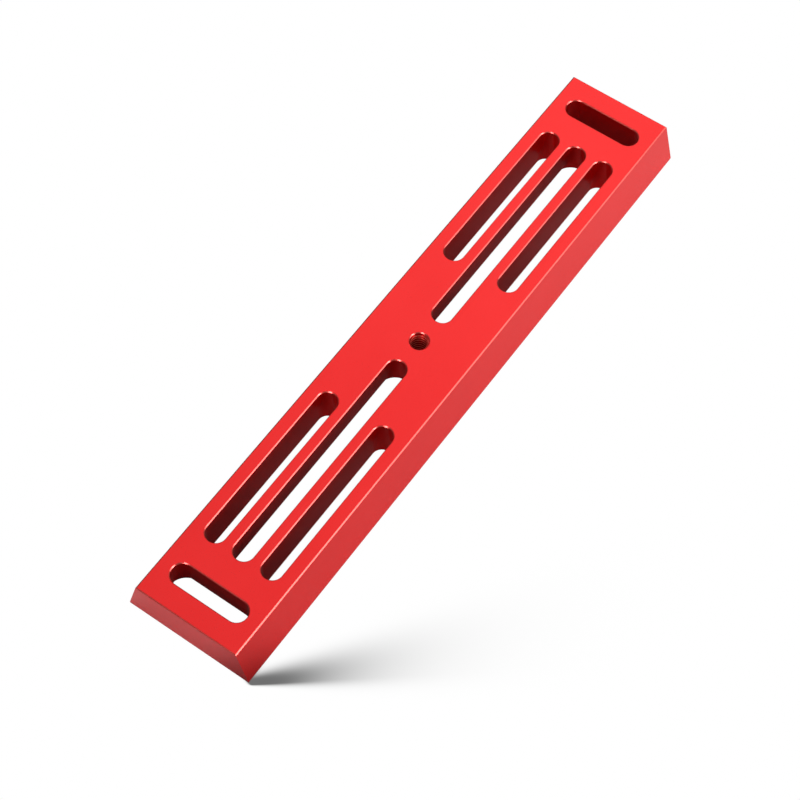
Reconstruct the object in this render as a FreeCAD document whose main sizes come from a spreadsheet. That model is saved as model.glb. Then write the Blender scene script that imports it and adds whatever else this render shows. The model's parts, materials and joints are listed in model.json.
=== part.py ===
import FreeCAD, Part
import Sketcher
import math
import os

# Dovetail plate: one machined aluminium bar, narrow face up and wide face down.
# Frame: origin at the centre of the wide face, +X along the bar, +Y across it, +Z up.

NODE = "dovetail_plate"

# Driving dimensions, in millimetres and degrees

SIZES = {
    # Bar and its section
    "length": 240.0,
    "thickness": 15.0,
    "foot_width": 45.0,
    "foot_land": 0.8,
    "flank_angle": 15.0,
    # Slots along the bar: their width, the land between the bar's middle and the centre slots,
    # the length of the outer slots, and what is left beyond all of them at the bar's end
    "slot_width": 7.0,
    "middle_land": 9.5,
    "outer_slot_length": 63.3,
    "long_slot_margin": 25.0,
    # How much wider the rail outside an outer slot is, on the top face, than the rib inside it
    "rail_excess": 1.0,
    # Slots across the bar: width, what is left on the top face past each end, and the
    # distance from the bar's end to the slot's middle
    "cross_slot_width": 7.3,
    "cross_slot_rail": 4.8,
    "cross_slot_margin": 11.5,
    # Recesses for screw heads, cut from the wide face, and the wall between them and the outer slots
    "recess_depth": 6.0,
    "recess_wall": 1.1,
    # Threaded hole in the middle, drawn at the thread's major diameter
    "thread_diameter": 6.35,
    # Broken edges
    "thread_mouth_break": 0.28,
    "top_break": 0.3,
    "foot_break": 0.3,
}

# Sizes that follow from them

DERIVED = {
    "top_width": "=foot_width - 2 * (thickness - foot_land) * tan(flank_angle * 1 deg)",
    "rib": "=((top_width - slot_width) / 2 - slot_width - rail_excess) / 2",
    "outer_slot_offset": "=slot_width + rib",
    "recess_width": "=slot_width + 2 * (rib - recess_wall)",
    "long_slot_finish": "=length / 2 - long_slot_margin",
    "outer_slot_start": "=long_slot_finish - outer_slot_length",
    "cross_slot_position": "=length / 2 - cross_slot_margin",
    "cross_slot_length": "=top_width - 2 * cross_slot_rail",
}

HORIZONTAL_AXIS = -1
ORIGIN_POINT = (-1, 1)
START, END, CENTRE = 1, 2, 3
UP = FreeCAD.Vector(0, 0, 1)

# Tolerances, in millimetres and cubic millimetres

SAME_PLACE = 0.001
SAME_VOLUME = 1.0

doc = FreeCAD.newDocument("DovetailPlate")

sheet = doc.addObject("Spreadsheet::Sheet", "Sizes")
for row, (alias, value) in enumerate([*SIZES.items(), *DERIVED.items()], start=1):
    sheet.set(f"A{row}", alias)
    sheet.set(f"B{row}", str(value))
    sheet.setAlias(f"B{row}", alias)
doc.recompute()


def size(alias):
    return float(sheet.get(alias))


body = doc.addObject("PartDesign::Body", "Plate")
body.Label = NODE
body.Placement = FreeCAD.Placement()


def origin_plane(role):
    for feature in body.Origin.OriginFeatures:
        if feature.Role == role:
            return feature
    raise RuntimeError(f"the body has no {role}")


def new_sketch(name, role):
    sketch = body.newObject("Sketcher::SketchObject", name)
    sketch.AttachmentSupport = (origin_plane(role), "")
    sketch.MapMode = "FlatFace"
    sketch.Visibility = False
    return sketch


def relate(sketch, *constraint):
    return sketch.addConstraint(Sketcher.Constraint(*constraint))


def drive(sketch, name, formula, *constraint):
    """Add a dimension and tie it to the sheet."""
    index = relate(sketch, *constraint)
    sketch.renameConstraint(index, name)
    sketch.setExpression(f"Constraints.{name}", formula)


def check_closed(sketch):
    doc.recompute()
    if sketch.solve() != 0 or not sketch.Shape.Wires:
        raise RuntimeError(f"sketch {sketch.Name} doesn't solve")
    if not all(wire.isClosed() for wire in sketch.Shape.Wires):
        raise RuntimeError(f"sketch {sketch.Name} is open")


# Dovetail section, drawn across the bar: a foot with a short upright land, then sloping flanks

half_foot = size("foot_width") / 2
half_top = size("top_width") / 2

section = new_sketch("DovetailSection", "YZ_Plane")
outline = [
    FreeCAD.Vector(-half_foot, 0, 0),
    FreeCAD.Vector(half_foot, 0, 0),
    FreeCAD.Vector(half_foot, size("foot_land"), 0),
    FreeCAD.Vector(half_top, size("thickness"), 0),
    FreeCAD.Vector(-half_top, size("thickness"), 0),
    FreeCAD.Vector(-half_foot, size("foot_land"), 0),
]
FOOT, RIGHT_LAND, RIGHT_FLANK, TOP, LEFT_FLANK, LEFT_LAND = range(len(outline))
for corner, following in zip(outline, outline[1:] + outline[:1]):
    section.addGeometry(Part.LineSegment(corner, following), False)
for line in range(len(outline)):
    relate(section, "Coincident", line, END, (line + 1) % len(outline), START)
relate(section, "Horizontal", FOOT)
relate(section, "Horizontal", TOP)
relate(section, "Vertical", RIGHT_LAND)
relate(section, "Vertical", LEFT_LAND)
relate(section, "Symmetric", FOOT, START, FOOT, END, *ORIGIN_POINT)
relate(section, "Equal", RIGHT_LAND, LEFT_LAND)
relate(section, "Equal", RIGHT_FLANK, LEFT_FLANK)
drive(section, "FootWidth", "Sizes.foot_width",
      "DistanceX", FOOT, START, FOOT, END, size("foot_width"))
drive(section, "FootLand", "Sizes.foot_land",
      "DistanceY", RIGHT_LAND, START, RIGHT_LAND, END, size("foot_land"))
drive(section, "Thickness", "Sizes.thickness",
      "DistanceY", FOOT, END, TOP, START, size("thickness"))
drive(section, "TopWidth", "Sizes.top_width",
      "DistanceX", TOP, END, TOP, START, size("top_width"))
check_closed(section)

bar = body.newObject("PartDesign::Pad", "Bar")
bar.Profile = section
bar.SideType = "Symmetric"
bar.setExpression("Length", "Sizes.length")
doc.recompute()


# Round-ended slots, drawn on the wide face for one half of the bar

def draw_slot(sketch, near, far, width):
    """Draw a slot round two end centres and return its two end arcs."""
    radius = width / 2
    run = (far - near).normalize()
    side = UP.cross(run) * radius
    heading = math.atan2(run.y, run.x)
    quarter = math.pi / 2
    far_end = Part.ArcOfCircle(Part.Circle(far, UP, radius), heading - quarter, heading + quarter)
    near_end = Part.ArcOfCircle(Part.Circle(near, UP, radius), heading + quarter, heading + 3 * quarter)
    far_arc = sketch.addGeometry(far_end, False)
    left = sketch.addGeometry(Part.LineSegment(far + side, near + side), False)
    near_arc = sketch.addGeometry(near_end, False)
    right = sketch.addGeometry(Part.LineSegment(near - side, far - side), False)
    edges = [far_arc, left, near_arc, right]
    for edge, following in zip(edges, edges[1:] + edges[:1]):
        relate(sketch, "Tangent", edge, END, following, START)
    relate(sketch, "Equal", near_arc, far_arc)
    return near_arc, far_arc


def long_slots(name, start, finish, width, offset=None):
    """Slots along the bar: one on its middle line, or a pair at an offset each side."""
    sketch = new_sketch(name, "XY_Plane")
    near_run = size(start) + size("slot_width") / 2
    far_run = size(finish) - size("slot_width") / 2
    across = size(offset) if offset else 0
    near = FreeCAD.Vector(near_run, across, 0)
    far = FreeCAD.Vector(far_run, across, 0)
    near_arc, far_arc = draw_slot(sketch, near, far, size(width))
    drive(sketch, "EndRadius", f"Sizes.{width} / 2", "Radius", far_arc, size(width) / 2)
    drive(sketch, "Start", f"Sizes.{start} + Sizes.slot_width / 2",
          "DistanceX", *ORIGIN_POINT, near_arc, CENTRE, near_run)
    drive(sketch, "Finish", f"Sizes.{finish} - Sizes.slot_width / 2",
          "DistanceX", *ORIGIN_POINT, far_arc, CENTRE, far_run)
    if offset is None:
        relate(sketch, "PointOnObject", near_arc, CENTRE, HORIZONTAL_AXIS)
        relate(sketch, "PointOnObject", far_arc, CENTRE, HORIZONTAL_AXIS)
        check_closed(sketch)
        return sketch
    drive(sketch, "NearOffset", f"Sizes.{offset}",
          "DistanceY", *ORIGIN_POINT, near_arc, CENTRE, across)
    drive(sketch, "FarOffset", f"Sizes.{offset}",
          "DistanceY", *ORIGIN_POINT, far_arc, CENTRE, across)
    below = FreeCAD.Vector(0, -2 * across, 0)
    near_twin, far_twin = draw_slot(sketch, near + below, far + below, size(width))
    relate(sketch, "Equal", far_arc, far_twin)
    relate(sketch, "Symmetric", near_arc, CENTRE, near_twin, CENTRE, HORIZONTAL_AXIS)
    relate(sketch, "Symmetric", far_arc, CENTRE, far_twin, CENTRE, HORIZONTAL_AXIS)
    check_closed(sketch)
    return sketch


def cross_slot(name, width):
    """A slot across the bar, centred on its middle line."""
    sketch = new_sketch(name, "XY_Plane")
    along = size("cross_slot_position")
    reach = size("cross_slot_length") - size("cross_slot_width")
    near = FreeCAD.Vector(along, -reach / 2, 0)
    far = FreeCAD.Vector(along, reach / 2, 0)
    near_arc, far_arc = draw_slot(sketch, near, far, size(width))
    drive(sketch, "EndRadius", f"Sizes.{width} / 2", "Radius", far_arc, size(width) / 2)
    drive(sketch, "Position", "Sizes.cross_slot_position",
          "DistanceX", *ORIGIN_POINT, far_arc, CENTRE, along)
    drive(sketch, "Reach", "Sizes.cross_slot_length - Sizes.cross_slot_width",
          "DistanceY", near_arc, CENTRE, far_arc, CENTRE, reach)
    relate(sketch, "Symmetric", near_arc, CENTRE, far_arc, CENTRE, HORIZONTAL_AXIS)
    check_closed(sketch)
    return sketch


def cut(name, sketch, depth=None):
    """Cut a sketch of the wide face upwards, through the bar or to a depth from the sheet."""
    before = body.Shape.Volume
    pocket = body.newObject("PartDesign::Pocket", name)
    pocket.Profile = sketch
    pocket.Reversed = True
    if depth is None:
        pocket.Type = "ThroughAll"
    else:
        pocket.Type = "Length"
        pocket.setExpression("Length", f"Sizes.{depth}")
    doc.recompute()
    if pocket.Shape.isNull() or pocket.Shape.Volume > before - SAME_VOLUME:
        raise RuntimeError(f"pocket {name} cuts nothing")
    return pocket


half_cuts = [
    cut("CentreSlot", long_slots(
        "CentreSlotSketch", "middle_land", "long_slot_finish", "slot_width")),
    cut("OuterSlots", long_slots(
        "OuterSlotSketch", "outer_slot_start", "long_slot_finish", "slot_width", "outer_slot_offset")),
    cut("CrossSlot", cross_slot("CrossSlotSketch", "cross_slot_width")),
    cut("CentreRecess", long_slots(
        "CentreRecessSketch", "middle_land", "long_slot_finish", "recess_width"), "recess_depth"),
    cut("CrossRecess", cross_slot("CrossRecessSketch", "recess_width"), "recess_depth"),
]

# The other half of the bar

half_volume = body.Shape.Volume
solid_volume = bar.Shape.Volume
other_half = body.newObject("PartDesign::Mirrored", "OtherHalf")
other_half.Originals = half_cuts
other_half.MirrorPlane = (origin_plane("YZ_Plane"), [""])
body.Tip = other_half
doc.recompute()
removed = solid_volume - other_half.Shape.Volume
if abs(removed - 2 * (solid_volume - half_volume)) > SAME_VOLUME:
    raise RuntimeError("the two halves of the bar differ")

# Threaded hole in the middle

hole = new_sketch("HoleSketch", "XY_Plane")
ring = hole.addGeometry(Part.Circle(FreeCAD.Vector(0, 0, 0), UP, size("thread_diameter") / 2), False)
relate(hole, "Coincident", ring, CENTRE, *ORIGIN_POINT)
drive(hole, "HoleDiameter", "Sizes.thread_diameter", "Diameter", ring, size("thread_diameter"))
check_closed(hole)
bore = cut("Hole", hole)


# Broken edges: the hole's two mouths, then every other edge of the top face and of the foot

def is_mouth(edge):
    curve = edge.Curve
    return isinstance(curve, Part.Circle) and math.hypot(curve.Center.x, curve.Center.y) < SAME_PLACE


def flat_edges(shape, heights, mouth):
    """Names of the edges that lie at one of the heights, on the hole's mouth or off it."""
    names = []
    for number, edge in enumerate(shape.Edges, start=1):
        box = edge.BoundBox
        level = any(abs(box.ZMin - up) < SAME_PLACE and abs(box.ZMax - up) < SAME_PLACE for up in heights)
        if level and is_mouth(edge) == mouth:
            names.append(f"Edge{number}")
    if not names:
        raise RuntimeError("no edges to break")
    return names


def break_edges(name, heights, mouth, amount):
    base = body.Tip
    chamfer = body.newObject("PartDesign::Chamfer", name)
    chamfer.Base = (base, flat_edges(base.Shape, heights, mouth))
    chamfer.setExpression("Size", f"Sizes.{amount}")
    body.Tip = chamfer
    doc.recompute()
    if chamfer.Shape.isNull() or chamfer.Shape.Volume >= base.Shape.Volume:
        raise RuntimeError(f"chamfer {name} takes nothing off")


foot_height = 0.0
top_height = size("thickness")
break_edges("ThreadMouths", [foot_height, top_height], True, "thread_mouth_break")
break_edges("TopEdges", [top_height], False, "top_break")
break_edges("FootEdges", [foot_height], False, "foot_break")

# Checks, then the part's file

doc.recompute()
for item in doc.Objects:
    if "Invalid" in item.State or "Error" in item.State:
        raise RuntimeError(f"{item.Name} failed: {item.State}")
shape = body.Shape
if shape.isNull() or not shape.isValid() or len(shape.Solids) != 1:
    raise RuntimeError("the plate isn't one valid solid")

os.makedirs("parts", exist_ok=True)
shape.exportStep(f"parts/{body.Label}.step")
print(body.Label, "volume", round(shape.Volume, 1), "box", shape.BoundBox)
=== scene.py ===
import json
import math

import bmesh
import bpy
from mathutils import Matrix, Vector

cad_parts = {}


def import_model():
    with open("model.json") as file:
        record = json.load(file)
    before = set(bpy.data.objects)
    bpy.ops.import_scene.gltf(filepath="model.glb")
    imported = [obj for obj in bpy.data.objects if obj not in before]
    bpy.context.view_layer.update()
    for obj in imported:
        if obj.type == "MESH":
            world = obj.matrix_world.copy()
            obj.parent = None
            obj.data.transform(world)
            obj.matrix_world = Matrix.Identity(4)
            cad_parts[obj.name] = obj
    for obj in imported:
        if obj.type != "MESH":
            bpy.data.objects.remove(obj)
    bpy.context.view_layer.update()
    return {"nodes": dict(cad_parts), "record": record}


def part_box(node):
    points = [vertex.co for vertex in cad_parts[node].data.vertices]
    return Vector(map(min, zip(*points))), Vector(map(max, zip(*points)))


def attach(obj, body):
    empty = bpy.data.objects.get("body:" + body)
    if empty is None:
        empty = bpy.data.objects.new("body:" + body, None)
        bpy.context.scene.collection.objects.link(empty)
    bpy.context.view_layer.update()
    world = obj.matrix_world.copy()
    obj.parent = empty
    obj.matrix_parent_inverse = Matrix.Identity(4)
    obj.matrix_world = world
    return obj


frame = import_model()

MM = 0.001

plate = frame["nodes"]["dovetail_plate"]
low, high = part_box("dovetail_plate")
LENGTH = high.x - low.x
WIDTH = high.y - low.y
THICKNESS = high.z - low.z

HOLE = next(mount["dims"] for mount in frame["record"]["mounts"] if mount["name"] == "threaded_hole")
HOLE_RADIUS = HOLE["r_mm"] * MM
HOLE_LENGTH = HOLE["length_mm"] * MM


# Node helpers

def new_material(name):
    material = bpy.data.materials.new(name)
    material.use_nodes = True
    material.node_tree.nodes.clear()
    return material, material.node_tree


def add(tree, kind, sockets=None, **settings):
    """Add a node with its settings and the fixed values of its sockets."""
    node = tree.nodes.new(kind)
    for name, value in settings.items():
        setattr(node, name, value)
    for name, value in (sockets or {}).items():
        node.inputs[name].default_value = value
    return node


def math_node(tree, operation, *values):
    """A math node on sockets or numbers."""
    node = add(tree, "ShaderNodeMath", operation=operation)
    for socket, value in zip(node.inputs, values):
        if isinstance(value, bpy.types.NodeSocket):
            tree.links.new(value, socket)
        else:
            socket.default_value = value
    return node.outputs["Value"]


def colour_ramp(tree, share, *stops):
    """A colour that follows a share between two stops, each a place on the ramp and its colour."""
    node = add(tree, "ShaderNodeValToRGB")
    for element, (position, colour) in zip(node.color_ramp.elements, stops):
        element.position = position
        element.color = colour
    tree.links.new(share, node.inputs["Fac"])
    return node.outputs["Color"]


def mapped(tree, value, **ends):
    """A value carried from one range to another."""
    sockets = {name.replace("_", " ").title(): end for name, end in ends.items()}
    node = add(tree, "ShaderNodeMapRange", sockets)
    tree.links.new(value, node.inputs["Value"])
    return node.outputs["Result"]


# A colour mix keeps sockets of the same names for other kinds of value, so these are told by number
MIX_FIRST = 6
MIX_SECOND = 7
MIX_RESULT = 2


# Red anodised aluminium: dyed metal under a clear oxide skin, with a fine blasted grain

METALLIC = 0.86
DEEP_DYE = (0.90, 0.004, 0.004, 1)
BRIGHT_DYE = (0.94, 0.008, 0.008, 1)
# Pale red: the metal's tint at grazing angles, and the colour of the painted highlight on the chamfered
# edges
THIN_DYE_AND_GLINT_EDGE = (1.0, 0.12, 0.10, 1)
DYE_CLOUDS = 35
DEEP_BELOW = 0.3
BRIGHT_ABOVE = 0.7
GRAIN_SCALE = 4500
FINEST_ROUGHNESS = 0.25
COARSEST_ROUGHNESS = 0.33
GRAIN_STRENGTH = 0.25
GRAIN_HEIGHT = 0.01 * MM

# Painted highlight: the colour is paler on the chamfered edges, which face neither up nor sideways, so the
# lamps' glints and edge lines there show white
GLINT_EDGE_RISE = 0.7
GLINT_EDGE_RANGE = 0.2


def anodised():
    material, tree = new_material("red_anodised")
    link = tree.links.new
    out = add(tree, "ShaderNodeOutputMaterial")
    skin = add(tree, "ShaderNodeBsdfPrincipled", {
        "Metallic": METALLIC,
        "Specular IOR Level": 0.0,
        "Specular Tint": THIN_DYE_AND_GLINT_EDGE,
        "Coat Weight": 1.0,
        "Coat Roughness": 0.15,
        "Coat IOR": 1.4,
    })
    link(skin.outputs["BSDF"], out.inputs["Surface"])
    place = add(tree, "ShaderNodeTexCoord")

    cloud = add(tree, "ShaderNodeTexNoise", {"Scale": DYE_CLOUDS, "Detail": 3})
    link(place.outputs["Object"], cloud.inputs["Vector"])
    dye = colour_ramp(tree, cloud.outputs["Fac"], (DEEP_BELOW, DEEP_DYE), (BRIGHT_ABOVE, BRIGHT_DYE))

    facing = add(tree, "ShaderNodeSeparateXYZ")
    link(place.outputs["Normal"], facing.inputs["Vector"])
    rise = math_node(tree, "ABSOLUTE", facing.outputs["Z"])
    # Paint the chamfered edges pale, a painted highlight for the lamps' glints and edge lines
    colour_with_glint_edges = add(tree, "ShaderNodeMix", data_type="RGBA")
    link(math_node(tree, "COMPARE", rise, GLINT_EDGE_RISE, GLINT_EDGE_RANGE), colour_with_glint_edges.inputs["Factor"])
    link(dye, colour_with_glint_edges.inputs[MIX_FIRST])
    colour_with_glint_edges.inputs[MIX_SECOND].default_value = THIN_DYE_AND_GLINT_EDGE
    link(colour_with_glint_edges.outputs[MIX_RESULT], skin.inputs["Base Color"])

    grain = add(tree, "ShaderNodeTexNoise", {"Scale": GRAIN_SCALE, "Detail": 2})
    link(place.outputs["Object"], grain.inputs["Vector"])
    rough = mapped(tree, grain.outputs["Fac"], to_min=FINEST_ROUGHNESS, to_max=COARSEST_ROUGHNESS)
    link(rough, skin.inputs["Roughness"])
    bump = add(tree, "ShaderNodeBump", {"Strength": GRAIN_STRENGTH, "Distance": GRAIN_HEIGHT})
    link(grain.outputs["Fac"], bump.inputs["Height"])
    link(bump.outputs["Normal"], skin.inputs["Normal"])
    return material


red = anodised()
for material_slot in plate.material_slots:
    material_slot.material = red


# Thread in the middle hole: a sleeve let into the plain wall, its bore a right-hand V thread

THREAD_PITCH = 1.27 * MM
THREAD_DEPTH = 0.42 * MM
THREAD_SEGMENTS = 96
SPARE_TURNS = 2
ROOT_CLEARANCE = 0.015 * MM
SLEEVE_SKIN = 0.03 * MM

# Shares of the pitch that are flat at root and crest, and the share of a flank that each corner rounds
ROOT_SHARE = 0.125
CREST_SHARE = 0.1
CORNER_ROUNDING = 0.2

# How far the ridges may rise from the wall for each step in from the mouth
LEAD_IN = 6

SHARP_TURN = math.radians(25)
MERGE = 0.0001 * MM
RIM_MARGIN = 0.001 * MM

# Painted light on the thread: from this depth in towards the crests, the colour goes from a dark painted
# shade in the roots to a pale painted highlight with less metal shine
CREST_HIGHLIGHT_DEPTH = 0.27 * MM
THREAD_COAT = 0.3
ROOT_PAINTED_SHADE = (0.50, 0.002, 0.002, 1)
CREST_PAINTED_HIGHLIGHT = (0.95, 0.24, 0.18, 1)
CREST_METALLIC = 0.4


def thread_painted_light():
    """The plate's finish, with painted shade in the roots and a pale painted highlight on the crests."""
    material = red.copy()
    material.name = "thread_painted_light"
    tree = material.node_tree
    link = tree.links.new
    skin = next(node for node in tree.nodes if node.type == "BSDF_PRINCIPLED")
    skin.inputs["Coat Weight"].default_value = THREAD_COAT
    place = add(tree, "ShaderNodeTexCoord")
    across = add(tree, "ShaderNodeVectorMath", {1: (1, 1, 0)}, operation="MULTIPLY")
    link(place.outputs["Object"], across.inputs[0])
    radius = add(tree, "ShaderNodeVectorMath", operation="LENGTH")
    link(across.outputs["Vector"], radius.inputs[0])
    crest_highlight_share = mapped(tree, radius.outputs["Value"],
                  from_min=HOLE_RADIUS - CREST_HIGHLIGHT_DEPTH, from_max=HOLE_RADIUS - THREAD_DEPTH)
    # Dark painted shade in the roots, pale painted highlight on the crests
    link(colour_ramp(tree, crest_highlight_share, (0, ROOT_PAINTED_SHADE), (1, CREST_PAINTED_HIGHLIGHT)), skin.inputs["Base Color"])
    link(mapped(tree, crest_highlight_share, to_min=METALLIC, to_max=CREST_METALLIC), skin.inputs["Metallic"])
    return material


def rounded_step(along, ease):
    """Rise from 0 to 1 as along goes from 0 to 1, straight but for a rounded corner at each end."""
    if along < ease:
        return (along + ease) ** 2 / (4 * ease)
    if along > 1 - ease:
        return 1 - (1 + ease - along) ** 2 / (4 * ease)
    return along


def thread_profile():
    """Share of the pitch and depth below the hole's wall, for one turn from root to crest and back."""
    ease = CORNER_ROUNDING
    flank = (1 - ROOT_SHARE - CREST_SHARE) / 2
    stops = [-ease, -ease / 2, 0, ease / 2, ease, 1 - ease, 1 - ease / 2, 1, 1 + ease / 2, 1 + ease]
    height = THREAD_DEPTH - ROOT_CLEARANCE
    rise = [(flank * stop, ROOT_CLEARANCE + height * rounded_step(stop, ease)) for stop in stops]
    turn_back = 2 * flank + CREST_SHARE
    fall = [(turn_back - share, depth) for share, depth in reversed(rise)]
    return rise + fall


def wind(mesh, bottom, top):
    """Wind the profile round the hole from one mouth to the other, with a spare turn past each."""
    profile = thread_profile()
    turns = math.ceil((top - bottom) / THREAD_PITCH) + SPARE_TURNS
    columns = []
    for step in range(THREAD_SEGMENTS + 1):
        lead = step / THREAD_SEGMENTS
        angle = 2 * math.pi * lead
        column = []
        for turn in range(turns):
            for share, depth in profile:
                radius = HOLE_RADIUS - depth
                up = bottom + (turn - 1 + share + lead) * THREAD_PITCH
                column.append(mesh.verts.new((radius * math.cos(angle), radius * math.sin(angle), up)))
        columns.append(column)
    for here, following in zip(columns, columns[1:]):
        for row in range(len(here) - 1):
            mesh.faces.new((here[row], here[row + 1], following[row + 1], following[row]))
    bmesh.ops.remove_doubles(mesh, verts=mesh.verts, dist=MERGE)


def cut_off(mesh, height, above):
    """Cut the mesh at a height and clear what lies above or below it."""
    parts = mesh.verts[:] + mesh.edges[:] + mesh.faces[:]
    bmesh.ops.bisect_plane(mesh, geom=parts, dist=MERGE, plane_co=(0, 0, height),
                           plane_no=(0, 0, 1), clear_outer=above, clear_inner=not above)


def lead_in(mesh, bottom, top):
    """Let the ridges rise from the plain wall at both mouths."""
    for vert in mesh.verts:
        room = max(min(vert.co.z - bottom, top - vert.co.z), 0)
        radius = max(vert.co.xy.length, HOLE_RADIUS - LEAD_IN * room)
        vert.co.xy = vert.co.xy.normalized() * radius


def rim(mesh, height):
    return [edge for edge in mesh.edges
            if edge.is_boundary and all(abs(vert.co.z - height) < RIM_MARGIN for vert in edge.verts)]


def close_behind(mesh, bottom, top):
    """Turn both rims out into the plate's wall and join them behind the ridges."""
    outer = []
    for height in (bottom, top):
        made = bmesh.ops.extrude_edge_only(mesh, edges=rim(mesh, height))["geom"]
        for item in made:
            if isinstance(item, bmesh.types.BMVert):
                item.co.xy = item.co.xy.normalized() * (HOLE_RADIUS + SLEEVE_SKIN)
        outer += [item for item in made if isinstance(item, bmesh.types.BMEdge) and item.is_boundary]
    bmesh.ops.bridge_loops(mesh, edges=outer)
    bmesh.ops.recalc_face_normals(mesh, faces=mesh.faces)


def smooth_between_corners(mesh):
    for face in mesh.faces:
        face.smooth = True
    for edge in mesh.edges:
        edge.smooth = edge.calc_face_angle(0) < SHARP_TURN


def new_object(name, mesh, material):
    """Put a mesh in the scene under a name, with one material."""
    data = bpy.data.meshes.new(name)
    mesh.to_mesh(data)
    mesh.free()
    piece = bpy.data.objects.new(name, data)
    bpy.context.collection.objects.link(piece)
    data.materials.append(material)
    return piece


def thread():
    bottom = (THICKNESS - HOLE_LENGTH) / 2
    top = (THICKNESS + HOLE_LENGTH) / 2
    mesh = bmesh.new()
    wind(mesh, bottom, top)
    cut_off(mesh, bottom, above=False)
    cut_off(mesh, top, above=True)
    lead_in(mesh, bottom, top)
    close_behind(mesh, bottom, top)
    smooth_between_corners(mesh)
    piece = new_object("thread_ridges", mesh, thread_painted_light())
    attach(piece, "root")


thread()


# Floor: white to the camera but for a painted shadow of the plate, and to every other ray a cloth with
# painted shade round the plate and a painted glow in reflections

FLOOR_SIZE = 6.0
FLOOR_GAP = 0.02 * MM

# Paleness of the cloth before the plate, behind it, and under it from its near end to its far end: behind
# the plate it is painted dark for the plate's edges to reflect, and under it painted dark as shade, paler
# towards the far end
SHADE_BEFORE = 0.62
PAINTED_DARK_BEHIND = 0.08
NEAR_PAINTED_SHADE_UNDER = 0.14
FAR_PAINTED_SHADE_UNDER = 0.38

# Painted glow on the cloth before the plate, seen only in reflections, from its near end to its far end
NEAR_GLOW = 0.05
FAR_GLOW = 0.36

# Both give way round the corner of the plate's foot that is nearest to the camera, as painted shade: the
# cloth keeps this share of its paleness there and the glow is cut
CORNER = Vector((-LENGTH / 2, -WIDTH / 2, 0))
CORNER_REACH = 13 * MM
PAINTED_CORNER_SHADE = 0.3

# The painted shadow fans out from that corner, soft on one side and sharp on the other
SHADOW_AHEAD = Vector((-0.125, -0.992, 0))
SHADOW_ACROSS = Vector((0.992, -0.125, 0))
SHADOW_START = -0.70 * MM
SHADOW_SLANT = 1.07
SOFT_WIDTH = 4.9 * MM
SOFT_FAN = 0.51
SHARP_WIDTH = 0.3 * MM
SHARP_FAN = 0.15

# It fades with the way from the corner, and stops behind and beside the corner
SHADOW_REACH = 18.5 * MM
SHADOW_FADE = 1.36
BEHIND_REACH = 1.5 * MM
BESIDE_START = 0.36 * MM
BESIDE_REACH = 0.53 * MM
SHADOW_STRENGTH = 1.2
SHADOW_DEPTH = 0.84
SHADOW_EASE = 0.3


def distance_along(tree, place, axis):
    """How far a place lies from the corner along an axis."""
    node = add(tree, "ShaderNodeVectorMath", {1: axis}, operation="DOT_PRODUCT")
    tree.links.new(place, node.inputs[0])
    return math_node(tree, "SUBTRACT", node.outputs["Value"], axis.dot(CORNER))


def bell(tree, share):
    """One at nothing, falling smoothly as the share grows."""
    squared = math_node(tree, "MULTIPLY", share, share)
    return math_node(tree, "EXPONENT", math_node(tree, "MULTIPLY", squared, -1))


def fade_below(tree, value, start, reach):
    """One from the start upwards, falling smoothly to nothing below it."""
    short = math_node(tree, "MINIMUM", math_node(tree, "SUBTRACT", value, start), 0)
    return bell(tree, math_node(tree, "DIVIDE", short, reach))


def painted_shadow(tree, place):
    """Depth of the shadow painted on the floor, from the corner outwards."""
    ahead = distance_along(tree, place, SHADOW_AHEAD)
    across = distance_along(tree, place, SHADOW_ACROSS)
    away = math_node(tree, "MAXIMUM", ahead, 0)
    behind = fade_below(tree, ahead, 0, BEHIND_REACH)
    beside = fade_below(tree, across, BESIDE_START, BESIDE_REACH)
    middle = math_node(tree, "MULTIPLY_ADD", away, SHADOW_SLANT, SHADOW_START)
    side = math_node(tree, "SUBTRACT", across, middle)
    soft = math_node(tree, "DIVIDE", side, math_node(tree, "MULTIPLY_ADD", away, SOFT_FAN, SOFT_WIDTH))
    sharp = math_node(tree, "DIVIDE", side, math_node(tree, "MULTIPLY_ADD", away, -SHARP_FAN, -SHARP_WIDTH))
    fan = bell(tree, math_node(tree, "MAXIMUM", soft, sharp))
    fade = math_node(tree, "POWER", math_node(tree, "DIVIDE", away, SHADOW_REACH), SHADOW_FADE)
    fading = math_node(tree, "EXPONENT", math_node(tree, "MULTIPLY", fade, -1))
    cut = math_node(tree, "MULTIPLY", behind, beside)
    depth = math_node(tree, "MULTIPLY", math_node(tree, "MULTIPLY", fan, fading), SHADOW_STRENGTH)
    depth = math_node(tree, "MULTIPLY", depth, cut)
    return math_node(tree, "SMOOTH_MIN", depth, SHADOW_DEPTH, SHADOW_EASE)


def within(tree, coordinate, size):
    """One where a coordinate is less than half a size from the middle, else nothing."""
    return math_node(tree, "LESS_THAN", math_node(tree, "ABSOLUTE", coordinate), size / 2)


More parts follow.
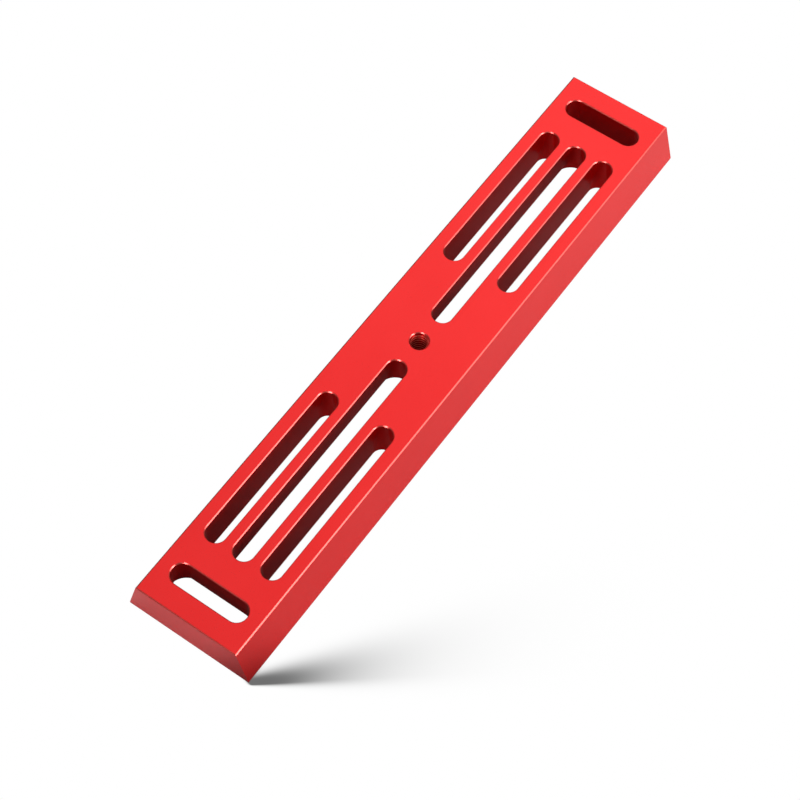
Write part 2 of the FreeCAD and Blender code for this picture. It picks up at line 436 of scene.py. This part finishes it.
def floor_material():
    material, tree = new_material("white_floor")
    link = tree.links.new
    out = add(tree, "ShaderNodeOutputMaterial")
    rays = add(tree, "ShaderNodeLightPath")
    place = add(tree, "ShaderNodeNewGeometry").outputs["Position"]
    split = add(tree, "ShaderNodeSeparateXYZ")
    link(place, split.inputs["Vector"])
    before_end = math_node(tree, "LESS_THAN", split.outputs["X"], -LENGTH / 2)
    before_flank = math_node(tree, "LESS_THAN", split.outputs["Y"], -WIDTH / 2)
    before = math_node(tree, "MAXIMUM", before_end, before_flank)
    under = math_node(tree, "MULTIPLY", within(tree, split.outputs["X"], LENGTH),
                      within(tree, split.outputs["Y"], WIDTH))
    to_corner = add(tree, "ShaderNodeVectorMath", {1: CORNER}, operation="DISTANCE")
    link(place, to_corner.inputs[0])
    corner = bell(tree, math_node(tree, "DIVIDE", to_corner.outputs["Value"], CORNER_REACH))

    def from_near_to_far(near, far):
        return mapped(tree, split.outputs["X"],
                      from_min=-LENGTH / 2, from_max=LENGTH / 2, to_min=near, to_max=far)

    # Painted shade: the cloth darker behind the plate and under it
    shade = math_node(tree, "MULTIPLY_ADD", before, SHADE_BEFORE - PAINTED_DARK_BEHIND, PAINTED_DARK_BEHIND)
    painted_shade_under = from_near_to_far(NEAR_PAINTED_SHADE_UNDER - PAINTED_DARK_BEHIND, FAR_PAINTED_SHADE_UNDER - PAINTED_DARK_BEHIND)
    shade = math_node(tree, "MULTIPLY_ADD", under, painted_shade_under, shade)
    # Painted shade: the cloth darker round the corner
    painted_corner_darkening = math_node(tree, "MULTIPLY_ADD", corner, PAINTED_CORNER_SHADE - 1, 1)
    cloth = add(tree, "ShaderNodeBsdfDiffuse")
    link(math_node(tree, "MULTIPLY", shade, painted_corner_darkening), cloth.inputs["Color"])

    open_floor = math_node(tree, "MAXIMUM", math_node(tree, "SUBTRACT", before, corner), 0)
    painted_glow = math_node(tree, "MULTIPLY", from_near_to_far(NEAR_GLOW, FAR_GLOW), open_floor)
    sheen = add(tree, "ShaderNodeEmission")
    # The painted glow shows only to reflections
    link(math_node(tree, "MULTIPLY", painted_glow, rays.outputs["Is Glossy Ray"]), sheen.inputs["Strength"])
    lit = add(tree, "ShaderNodeAddShader")
    link(cloth.outputs["BSDF"], lit.inputs[0])
    link(sheen.outputs["Emission"], lit.inputs[1])

    # White to the camera, less where the plate's shadow is painted
    white = add(tree, "ShaderNodeEmission")
    link(math_node(tree, "SUBTRACT", 1, painted_shadow(tree, place)), white.inputs["Strength"])
    seen = add(tree, "ShaderNodeMixShader")
    link(rays.outputs["Is Camera Ray"], seen.inputs["Fac"])
    link(lit.outputs["Shader"], seen.inputs[1])
    link(white.outputs["Emission"], seen.inputs[2])
    link(seen.outputs["Shader"], out.inputs["Surface"])
    return material


def floor():
    mesh = bmesh.new()
    bmesh.ops.create_grid(mesh, x_segments=1, y_segments=1, size=FLOOR_SIZE / 2)
    piece = new_object("studio_floor", mesh, floor_material())
    piece.location.z = low.z - FLOOR_GAP


floor()


# Studio light: a dim world with soft glows that the camera sees as white, and five soft boxes

AMBIENT = 0.088

# Azimuth, elevation and spread in degrees, and peak, of each glow
GLOWS = [
    (28, 54, 26, 0.84),
    (16, 44, 14, 0.50),
]

# Name, azimuth and elevation in degrees, distance, size and radiance of each soft box
SOFT_BOXES = [
    ("near_window", -73, 23, 4.0, (1.00, 1.77), 3.4),
    ("far_window", -57.5, 22, 4.0, (1.19, 1.77), 1.9),
    ("side", -86, 26.5, 2.4, (0.66, 0.66), 9),
    ("end", -172, 31.5, 2.4, (0.80, 0.90), 7.5),
    ("overhead", -146, 66, 1.2, (0.49, 0.49), 3.2),
]


def direction(azimuth, elevation):
    turn = math.radians(azimuth)
    rise = math.radians(elevation)
    return Vector((math.cos(turn) * math.cos(rise), math.sin(turn) * math.cos(rise), math.sin(rise)))


def glow(tree, azimuth, elevation, spread, peak):
    """Brightness that falls off round a direction, by about 40 percent at the spread in degrees."""
    place = add(tree, "ShaderNodeTexCoord")
    aim = add(tree, "ShaderNodeVectorMath", {1: direction(azimuth, elevation)}, operation="DOT_PRODUCT")
    tree.links.new(place.outputs["Generated"], aim.inputs[0])
    away = math_node(tree, "SUBTRACT", aim.outputs["Value"], 1)
    fall = math_node(tree, "EXPONENT", math_node(tree, "DIVIDE", away, math.radians(spread) ** 2))
    return math_node(tree, "MULTIPLY", fall, peak)


def world():
    scene = bpy.context.scene
    scene.world = bpy.data.worlds.new("studio")
    scene.world.use_nodes = True
    tree = scene.world.node_tree
    tree.nodes.clear()
    out = add(tree, "ShaderNodeOutputWorld")
    sky = add(tree, "ShaderNodeBackground", {"Color": (1, 1, 1, 1)})
    total = AMBIENT
    for values in GLOWS:
        total = math_node(tree, "ADD", glow(tree, *values), total)
    seen = add(tree, "ShaderNodeLightPath").outputs["Is Camera Ray"]
    total = math_node(tree, "MAXIMUM", total, seen)
    tree.links.new(total, sky.inputs["Strength"])
    tree.links.new(sky.outputs["Background"], out.inputs["Surface"])


def soft_box(name, azimuth, elevation, distance, size, radiance):
    """A rectangular lamp that faces the plate from a direction, with the brightness that it shows."""
    place = direction(azimuth, elevation)
    lamp = bpy.data.lights.new(name, "AREA")
    lamp.shape = "RECTANGLE"
    lamp.size, lamp.size_y = size
    lamp.energy = radiance * math.pi * lamp.size * lamp.size_y
    piece = bpy.data.objects.new(name, lamp)
    piece.location = place * distance
    piece.rotation_euler = place.to_track_quat("Z", "Y").to_euler()
    bpy.context.collection.objects.link(piece)


world()
for box_values in SOFT_BOXES:
    soft_box(*box_values)


# Camera: at the photograph's angle to the plate, with its roll

SENSOR = 36.0
IMAGE_SIDE = 800
HALF_PIXEL = 0.5 / IMAGE_SIDE
FOCAL_PIXELS = 2068.37
NEAREST_SEEN = 10 * MM
CAMERA_PLACE = Vector((-297.03, -191.12, 570.02)) * MM
CAMERA_RIGHT = Vector((0.576568, -0.816884, 0.016405))
CAMERA_BACK = Vector((-0.426431, -0.283734, 0.858866))


def camera():
    data = bpy.data.cameras.new("camera")
    data.sensor_width = SENSOR
    data.lens = FOCAL_PIXELS / IMAGE_SIDE * SENSOR
    data.shift_x = -HALF_PIXEL
    data.shift_y = HALF_PIXEL
    data.clip_start = NEAREST_SEEN
    piece = bpy.data.objects.new("camera", data)
    upward = CAMERA_BACK.cross(CAMERA_RIGHT)
    turn = Matrix((CAMERA_RIGHT, upward, CAMERA_BACK)).transposed().to_4x4()
    piece.matrix_world = Matrix.Translation(CAMERA_PLACE) @ turn
    bpy.context.collection.objects.link(piece)
    bpy.context.scene.camera = piece


camera()
bpy.context.scene.view_settings.view_transform = "Standard"
